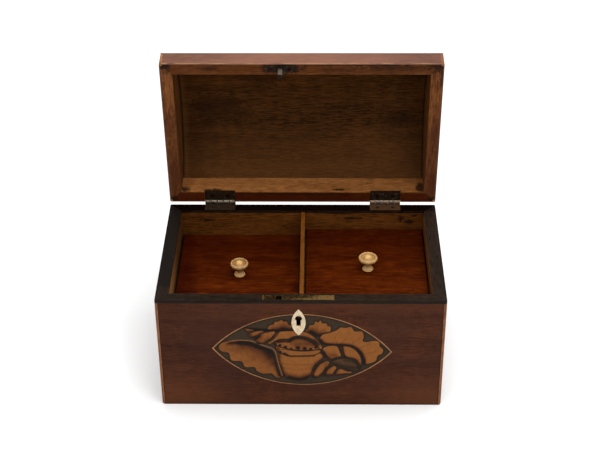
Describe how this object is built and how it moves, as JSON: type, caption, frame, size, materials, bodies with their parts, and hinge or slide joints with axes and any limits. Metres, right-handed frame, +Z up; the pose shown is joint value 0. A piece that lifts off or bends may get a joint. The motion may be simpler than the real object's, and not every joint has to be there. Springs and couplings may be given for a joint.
{
  "type": "tea caddy",
  "caption": "Rectangular veneered wooden tea caddy with a domed hinged lid, a lock, an inlaid pointed-oval panel of shells and compartments under inner lids with turned knobs.",
  "frame": {"origin": "middle of the underside, on the surface that the caddy stands on", "axes": "+X to the right seen from the keyhole side, +Y to the back where the hinges are, +Z up"},
  "size_m": [0.2, 0.156, 0.2181],
  "materials": {
    "mahogany_board": "oiled and darkened with age",
    "mahogany_veneer": "waxed, soft sheen",
    "satinwood_stringing": "waxed, soft sheen",
    "ebonised_facing": "blackened and waxed, rubbed at the edges",
    "pale_wood": "bare and dry",
    "metal_foil": "dull, crinkled",
    "sand_shaded_inlay": "scorched at the edges, waxed",
    "dyed_ground": "dyed grey-green, waxed",
    "bone": "turned and polished, yellowed",
    "lock_brass": "tarnished",
    "rusty_iron": "dark and rusty",
    "red_mahogany": "varnished, satin"
  },
  "bodies": {
    "case": {"bottom_board": "pale_wood", "front_board": "mahogany_board", "back_board": "mahogany_board", "left_board": "mahogany_board", "right_board": "mahogany_board", "front_veneer": "mahogany_veneer", "back_veneer": "mahogany_veneer", "left_veneer": "mahogany_veneer", "right_veneer": "mahogany_veneer", "case_corner_stringing": "satinwood_stringing", "front_rim_facing": "ebonised_facing", "back_rim_facing": "ebonised_facing", "left_rim_facing": "ebonised_facing", "right_rim_facing": "ebonised_facing", "partition": "pale_wood", "left_ledge_strips": "pale_wood", "right_ledge_strips": "pale_wood", "left_foil_lining": "metal_foil", "right_foil_lining": "metal_foil", "panel_ground": "dyed_ground", "panel_stringing": "satinwood_stringing", "shell_inlay": "sand_shaded_inlay", "spire_inlay": "sand_shaded_inlay", "coral_inlay": "sand_shaded_inlay", "leaf_inlay": "dyed_ground", "escutcheon": "bone", "lock_plate": "lock_brass", "lock_case": "lock_brass", "lock_spring": "rusty_iron", "key_pin": "rusty_iron", "left_case_leaf": "rusty_iron", "right_case_leaf": "rusty_iron", "left_hinge_pin": "rusty_iron", "right_hinge_pin": "rusty_iron", "case_leaf_screws": "rusty_iron"},
    "lid": {"lid_front_board": "mahogany_board", "lid_back_board": "mahogany_board", "lid_left_gable": "mahogany_board", "lid_right_gable": "mahogany_board", "lid_top_board": "mahogany_board", "lid_front_veneer": "mahogany_veneer", "lid_back_veneer": "mahogany_veneer", "lid_left_veneer": "mahogany_veneer", "lid_right_veneer": "mahogany_veneer", "lid_top_veneer": "mahogany_veneer", "lid_corner_stringing": "satinwood_stringing", "left_lid_leaf": "rusty_iron", "right_lid_leaf": "rusty_iron", "lid_screws": "rusty_iron", "lock_staple": "rusty_iron"},
    "left_inner_lid": {"left_inner_lid": "red_mahogany", "left_knob": "bone"},
    "right_inner_lid": {"right_inner_lid": "red_mahogany", "right_knob": "bone"},
    "lock_bolt": {"lock_bolt": "rusty_iron"}
  },
  "joints": [
    {"name": "lid_hinge", "type": "hinge", "parent": "case", "child": "lid", "pos_m": [0, 0.0621, 0.0944], "axis": [1, 0, 0], "range_deg": [0, 85]},
    {"name": "left_inner_lid_lift", "type": "slide", "parent": "case", "child": "left_inner_lid", "axis": [0, 0, 1], "range_m": [0, 0.03]},
    {"name": "right_inner_lid_lift", "type": "slide", "parent": "case", "child": "right_inner_lid", "axis": [0, 0, 1], "range_m": [0, 0.03]},
    {"name": "lock_bolt_slide", "type": "slide", "parent": "case", "child": "lock_bolt", "axis": [-1, 0, 0], "range_m": [0, 0.005]}
  ]
}
